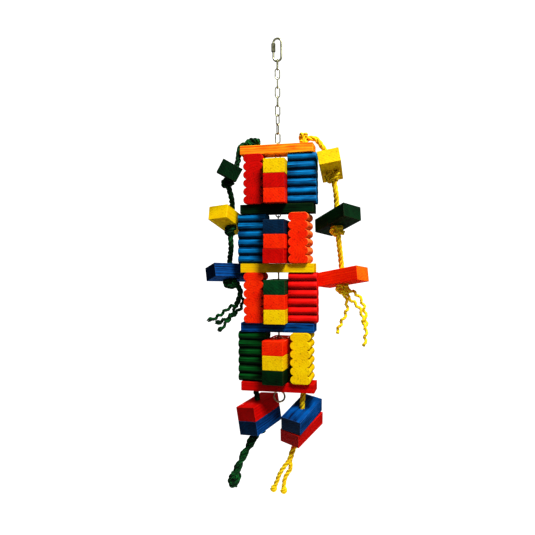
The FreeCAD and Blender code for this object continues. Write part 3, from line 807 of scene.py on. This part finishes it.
RIGHT_FOOT_LEGS = [
    [(0.0190, -0.0120, -0.7480), (0.0117, -0.0130, -0.7570), (0.0055, -0.0140, -0.7660),
     (0.0, -0.0130, -0.7770), (-0.0020, -0.0120, -0.7850), (-0.0090, -0.0120, -0.7990)],
    [(0.0200, -0.0100, -0.7480), (0.0225, -0.0090, -0.7600), (0.0184, -0.0080, -0.7680),
     (0.0125, -0.0080, -0.7760), (0.0090, -0.0090, -0.7880), (0.0086, -0.0090, -0.8020)],
]


def make_arm(side, colour):
    for level in ("upper", "middle", "lower"):
        key = side + "_" + level
        body = side + "_arm_" + level
        axis, sideways, size = ARM_KNOTS[key]
        route = ARM_ROUTES[key]
        centre = route[ARM_KNOT_POINTS.get(key, -1)]
        knot = make_knot(side + "_arm_knot_" + level, colour, body, centre, axis, sideways, size,
                         size[1] * KNOT_FILL)
        make_rope(side + "_arm_cord_" + level, colour, body, route,
                  [side + "_arm_rope_" + level])


# How uneven a loose strand's waves are, how far on each strand's first wave starts, and its two
# yarns: their offset and radius as shares of its diameter, and their lay.
CRIMP_UNEVENNESS = 0.16
CRIMP_PHASE = 1.3
YARN_OFFSET = 0.14
YARN_RADIUS = 0.36
YARN_LAY = 0.012


def make_crimped_strand(name, colour, body, points, number, tuft, nodes=()):
    """A strand unlaid from the rope, which keeps the waves of its lay, with a frayed end."""
    line = smooth_line(name, points)
    steps = even_steps(line, FINE_STEP)
    wavy = wound_line(steps, CRIMP_RADIUS, CRIMP_LENGTH, CRIMP_PHASE * number, CRIMP_UNEVENNESS)
    mesh = bmesh.new()
    diameter = CRIMPED_DIAMETERS[colour]
    for twist in (0, math.pi):
        yarn_line = wound_line(wavy, diameter * YARN_OFFSET, YARN_LAY, twist)
        add_yarn(mesh, yarn_line, diameter * YARN_RADIUS, spine=wavy, spine_reach=diameter / 2)
    piece = finish_rope(name, mesh, colour, body, nodes)
    mesh = bmesh.new()
    add_fray(mesh, wavy, *tuft)
    fray = finish_rope(name + "_end", mesh, colour, body)


# Number of fibres in a cut end, how long they are, and how far they spread.
LONG_TUFT = (44, 0.0135, 0.0040)
SHORT_TUFT = (18, 0.0060, 0.0017)
# A fibre's radius, which is also the most it starts off the strand's middle and the distance between
# its sections, and its number of sides.
FIBRE_RADIUS = 0.0012
FIBRE_SIDES = 5


def add_fray(mesh, line, count, length, spread):
    """Fibres that part before the end of a cut strand and fan out a little past it."""
    end = line[-1]
    along = (line[-1] - line[-6]).normalized()
    for _ in range(count):
        away = Vector([random.uniform(-1, 1) for _ in range(3)])
        away = (away - along * away.dot(along)).normalized() * random.uniform(0.15, 1.0)
        reach = length * random.uniform(0.75, 1.0)
        root = end - along * length * 0.65 + away * FIBRE_RADIUS
        middle = root + along * reach * 0.5 + away * spread * 0.8
        tip = root + along * reach + away * spread * 0.55
        fibre = even_steps([root, middle, tip], FIBRE_RADIUS)
        add_yarn(mesh, fibre, FIBRE_RADIUS, FIBRE_SIDES, taper=0.5)


# How far each core rope hangs from the middle, and how far below the top of its CAD tube it starts.
CORE_X = 0.0435
CORE_TOP_INSET = 0.012


def make_core(side, colour, x, knot_centre, knot_axis, sideways, size):
    """The rope inside the tower, with the knot that it hangs from above the top slat."""
    node = side + "_core_rope"
    low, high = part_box(node)
    mesh = bmesh.new()
    heights = (high[2] - CORE_TOP_INSET, (low[2] + high[2]) / 2, low[2])
    upright = [Vector((x, 0, height)) for height in heights]
    add_laid_rope(mesh, upright, ROPE_DIAMETERS[colour], ROPE_LAY, step=HIDDEN_STEP)
    finish_rope(side + "_core_cord", mesh, colour, "tower", [node])
    make_knot(side + "_top_knot", colour, "tower", knot_centre, knot_axis, sideways, size)


def make_ropes():
    slat_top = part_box("slat_1")[1][2]
    make_core("left", "green", -CORE_X, (-0.0455, 0.0, slat_top + 0.0088), (1, 0, 0.05), (0, 0, -1),
              (0.0285, 0.0185, 0.0215))
    make_core("right", "yellow", CORE_X, (0.0468, 0.0, slat_top + 0.0110), (0.15, 0, 1), (-1, 0, 0),
              (0.0220, 0.0195, 0.0195))
    make_arm("left", "green")
    make_arm("right", "yellow")
    for number, route in enumerate(LEFT_STRANDS):
        make_crimped_strand("left_strand_" + str(number + 1), "green", "left_arm_lower", route, number,
                            LONG_TUFT, ["left_arm_strands"] if number == 0 else ())
    for number, route in enumerate(RIGHT_STRANDS):
        make_crimped_strand("right_strand_" + str(number + 1), "yellow", "right_arm_lower", route, number,
                            SHORT_TUFT, ["right_arm_strands"] if number == 0 else ())
    make_feet()


def make_foot_tail():
    """The green foot's rope below its knot, opened into two thick strands that wind round each other."""
    line = even_steps(smooth_line("left_foot_tail", LEFT_FOOT_TAIL), TAIL_STEP)
    for number in range(2):
        wound = wound_line(line, TAIL_SPREAD, TAIL_LAY, 1.2 + math.pi * number, 0.10)
        mesh = bmesh.new()
        add_laid_rope(mesh, wound, TAIL_STRAND, TAIL_LAY, TAIL_YARNS, phase=0.7)
        piece = finish_rope("left_foot_tail_" + str(number + 1), mesh, "green", "left_foot")


def make_feet():
    under = make_knot("left_foot_stop_knot", "green", "left_foot", (-0.0347, 0.0116, -0.7045),
                      (-0.128, -0.077, 0.989), (0, 1, 0), (0.0120, 0.0140, 0.0130), 0.0052)
    knot = make_knot("left_foot_knot", "green", "left_foot", LEFT_FOOT[-1], (0.35, 0.2, 1), (1, -0.2, 0),
                     (0.0215, 0.0170, 0.0180), 0.0100, 4)
    make_rope("left_foot_cord", "green", "left_foot", LEFT_FOOT, ["left_foot_rope"])
    end_knot = make_knot("left_foot_end_knot", "green", "left_foot", (-0.0808, -0.0130, -0.7880),
                         (0.25, 0, 1), (1, -0.2, 0), (0.0300, 0.0240, 0.0220), 0.0118, 4)
    make_foot_tail()
    stop = make_knot("right_foot_stop_knot", "yellow", "right_foot", (0.0380, 0.0174, -0.7117),
                     (0.055, -0.328, 0.943), (0, 1, 0), (0.0140, 0.0165, 0.0150), 0.0060)
    make_rope("right_foot_cord", "yellow", "right_foot", RIGHT_FOOT, ["right_foot_rope"])
    for number, route in enumerate(RIGHT_FOOT_LEGS):
        knob = make_knot("right_foot_knob_" + str(number + 1), "yellow", "right_foot", route[-1],
                         (0.2, 0, 1), (1, 0.3, 0), (0.0124, 0.0124, 0.0118), 0.0066, 4)
        make_rope("right_foot_leg_" + str(number + 1), "yellow", "right_foot", route,
                  diameter=LEG_DIAMETER, lay=LEG_LAY, phase=number * 1.6)


# --- metal ---

# Each metal's colour, roughness, and the colour of its film.
PLATED_STEEL = ((0.50, 0.50, 0.33), 0.22, (0.20, 0.20, 0.11))
RING_STEEL = ((0.52, 0.44, 0.27), 0.25, (0.13, 0.10, 0.055))
# The split ring's wire: half its width, half its depth and each turn's distance from the middle
# plane, as shares of the depth that one turn has.
RING_HALF_WIDTH = 1.3
RING_HALF_DEPTH = 0.48
RING_OFFSET = 0.5
# Its turns, the angle it starts at, and how sharply it steps from one turn to the other.
RING_TURNS = 1.92
RING_START = 0.6
RING_SHARPNESS = 26
RING_STEPS = 150
RING_SIDES = 12


def metal_material(name, colour, roughness, dirt):
    """Plated steel: fine draw marks, and a darker film in places."""
    material, tree, shader = new_material(name)
    place = new_node(tree, "ShaderNodeTexCoord").outputs["Object"]
    film = noise(tree, place, 260, 4.0, 0.6)
    scratch = noise(tree, vector_maths(tree, "MULTIPLY", place, (1, 1, 0.15)), 2600, 3.0, 0.6)
    shade = smooth_step(tree, film, 0.45, 0.70)
    tree.links.new(blend_colours(tree, shade, (*colour, 1), (*dirt, 1)), shader.inputs["Base Color"])
    tree.links.new(maths(tree, "MULTIPLY_ADD", scratch, 0.25, roughness), shader.inputs["Roughness"])
    bump = new_node(tree, "ShaderNodeBump", Strength=0.25, Distance=0.00008, Height=scratch)
    tree.links.new(bump.outputs[0], shader.inputs["Normal"])
    shader.inputs["Metallic"].default_value = 1.0
    return material


def dress_metal():
    plated = metal_material("plated steel", *PLATED_STEEL)
    names = ["quick_link_body", "quick_link_nut", "inner_chain"]
    names += ["chain_link_" + str(number + 1) for number in range(9)]
    for name in names:
        put_material(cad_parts[name], plated)
    make_split_ring(metal_material("split ring steel", *RING_STEEL))


def make_split_ring(material):
    """Nearly two turns of flattened wire, one behind the other, joined by a short step."""
    low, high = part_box("bottom_ring")
    centre = (Vector(low) + Vector(high)) / 2
    wire = (high[1] - low[1]) / 2
    outside = (high[0] - low[0]) / 2
    wide = wire * RING_HALF_WIDTH
    mesh = bmesh.new()
    rings = []
    for step in range(RING_STEPS + 1):
        share = step / RING_STEPS
        angle = 2 * math.pi * RING_TURNS * share + RING_START
        outward = Vector((math.cos(angle), 0, math.sin(angle)))
        depth = wire * RING_OFFSET * math.tanh((share - 0.5) * RING_SHARPNESS)
        ring = []
        for side in range(RING_SIDES):
            turn = 2 * math.pi * side / RING_SIDES
            place = outside - wide + wide * math.cos(turn)
            ring.append(mesh.verts.new(centre + outward * place
                                       + Vector((0, depth + wire * RING_HALF_DEPTH * math.sin(turn), 0))))
        rings.append(ring)
    for first, second in zip(rings, rings[1:]):
        for side in range(RING_SIDES):
            after = (side + 1) % RING_SIDES
            face = mesh.faces.new((first[side], first[after], second[after], second[side]))
            face.smooth = True
    mesh.faces.new(rings[0])
    mesh.faces.new(rings[-1])
    bmesh.ops.recalc_face_normals(mesh, faces=mesh.faces)
    piece = add_mesh("split_ring", mesh)
    put_material(piece, material)
    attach(piece, "ring")
    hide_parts("bottom_ring")


# --- studio ---


def plain_material(name, colour, roughness):
    material, tree, shader = new_material(name)
    place = new_node(tree, "ShaderNodeTexCoord").outputs["Object"]
    cloud = noise(tree, place, 6.0, 2.0)
    tint = blend_colours(tree, maths(tree, "MULTIPLY", cloud, 0.06), (*colour, 1), (0.85, 0.85, 0.84, 1))
    tree.links.new(tint, shader.inputs["Base Color"])
    shader.inputs["Roughness"].default_value = roughness
    return material


def make_floor():
    height = cad_low[2] - FLOOR_BELOW
    mesh = bmesh.new()
    bmesh.ops.create_circle(mesh, cap_ends=True, segments=96, radius=FLOOR_RADIUS)
    bmesh.ops.translate(mesh, verts=mesh.verts, vec=(0, 0, height))
    floor = add_mesh("floor", mesh)
    put_material(floor, plain_material("studio floor", (0.94, 0.94, 0.94), 0.9))


def add_area_light(name, place, power, glossy=True):
    light = bpy.data.lights.new(name, "AREA")
    light.shape = "DISK"
    light.size = LIGHT_SIZE
    light.energy = power
    holder = bpy.data.objects.new(name, light)
    holder.location = place
    holder.rotation_euler = (Vector(LIGHT_AIM) - Vector(place)).to_track_quat("-Z", "Y").to_euler()
    holder.visible_glossy = glossy
    bpy.context.scene.collection.objects.link(holder)


def make_world():
    """White where the camera looks past the object. The light around it is strongest from FILL_FROM."""
    world = bpy.data.worlds.new("studio")
    world.use_nodes = True
    tree = world.node_tree
    direction = new_node(tree, "ShaderNodeTexCoord").outputs["Generated"]
    facing = vector_maths(tree, "DOT_PRODUCT", direction, FILL_FROM, out=1)
    soft = maths(tree, "MULTIPLY_ADD", smooth_step(tree, facing, -0.20, 0.9), FILL_BRIGHT, FILL_DIM)
    around = new_node(tree, "ShaderNodeBackground", Strength=soft)
    behind = tree.nodes["Background"]
    behind.inputs["Color"].default_value = (1, 1, 1, 1)
    behind.inputs["Strength"].default_value = 1.0
    seen = new_node(tree, "ShaderNodeLightPath").outputs["Is Camera Ray"]
    mixed = new_node(tree, "ShaderNodeMixShader", i0=seen, i1=around.outputs[0], i2=behind.outputs[0])
    tree.links.new(mixed.outputs[0], tree.nodes["World Output"].inputs["Surface"])
    bpy.context.scene.world = world


def make_lights():
    make_world()
    add_area_light("key", KEY_AT, KEY_POWER)
    add_area_light("back", BACK_AT, BACK_POWER, glossy=False)
    bpy.context.scene.view_settings.view_transform = "Standard"
    bpy.context.scene.view_settings.look = "Medium High Contrast"


def make_camera():
    data = bpy.data.cameras.new("camera")
    data.lens = CAMERA_LENS
    data.sensor_width = CAMERA_SENSOR
    data.shift_y = CAMERA_SHIFT_Y
    data.clip_start = 0.01
    data.clip_end = 50.0
    camera = bpy.data.objects.new("camera", data)
    turn = Matrix.Rotation(CAMERA_AZIMUTH, 4, "Z") @ Matrix.Rotation(math.radians(90), 4, "X")
    turn = turn @ Matrix.Rotation(CAMERA_ROLL, 4, "Z")
    camera.matrix_world = Matrix.Translation(CAMERA_AT) @ turn
    bpy.context.scene.collection.objects.link(camera)
    bpy.context.scene.camera = camera


make_camera()
make_lights()
make_floor()
dress_blocks()
dress_fluted_blocks()
make_ropes()
dress_metal()

bpy.context.view_layer.update()
